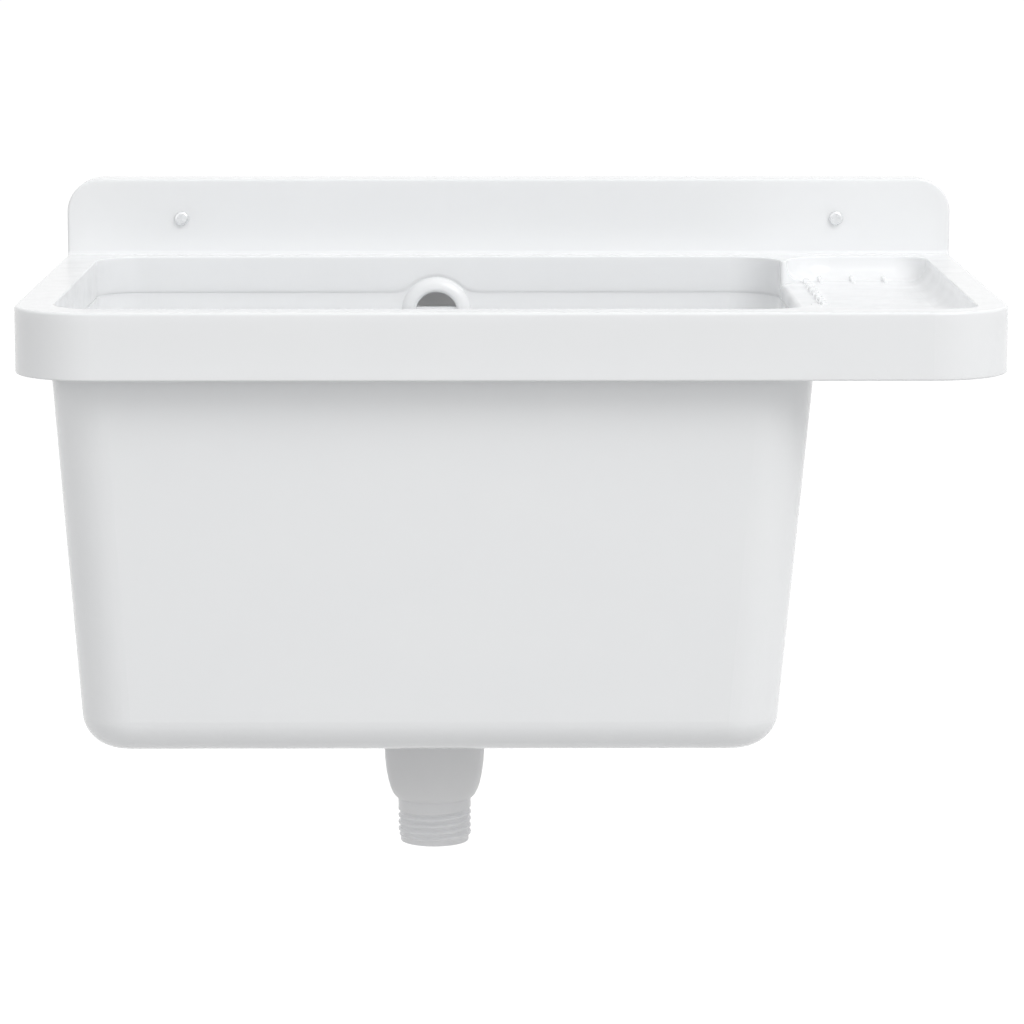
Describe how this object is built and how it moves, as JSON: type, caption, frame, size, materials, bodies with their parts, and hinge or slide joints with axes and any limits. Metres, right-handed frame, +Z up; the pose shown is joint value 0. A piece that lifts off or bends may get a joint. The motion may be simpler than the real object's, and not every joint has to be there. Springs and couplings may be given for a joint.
{
  "type": "wall-mounted sink",
  "caption": "White wall-mounted utility sink: deep tapered bowl under a moulded rim with splashback, side soap shelf, overflow, lift-out plug and threaded waste tail.",
  "frame": {"origin": "midway between the two wall screws, on the wall plane at the back of the splashback", "axes": "+X to the right as seen from the room, +Y into the wall, +Z up"},
  "size_m": [0.61, 0.438, 0.4221],
  "materials": {
    "white_plastic": "glossy moulded",
    "waste_plastic": "satin moulded",
    "seal_rubber": "matte",
    "steel": "satin",
    "brass": "turned",
    "seam_silicone": "satin"
  },
  "bodies": {
    "sink": {"top_frame": "white_plastic", "bowl": "white_plastic", "drain_cup": "waste_plastic", "overflow_elbow": "waste_plastic", "overflow_pipe": "waste_plastic", "inlet_slip_nut": "waste_plastic", "elbow_slip_nut": "waste_plastic", "frame_seal": "seam_silicone", "strainer_seal": "seal_rubber", "floor_seal": "seal_rubber", "overflow_seal": "seal_rubber", "inlet_cone_seal": "seal_rubber", "elbow_cone_seal": "seal_rubber", "drain_strainer": "steel", "drain_bolt": "steel", "bowl_screws": "steel", "wall_screws": "steel", "bolt_nut": "brass"},
    "plug": {"plug_body": "waste_plastic", "plug_seal": "seal_rubber"}
  },
  "joints": [
    {"name": "plug_lift", "type": "slide", "parent": "sink", "child": "plug", "axis": [0, 0, 1], "range_m": [0, 0.3]}
  ]
}
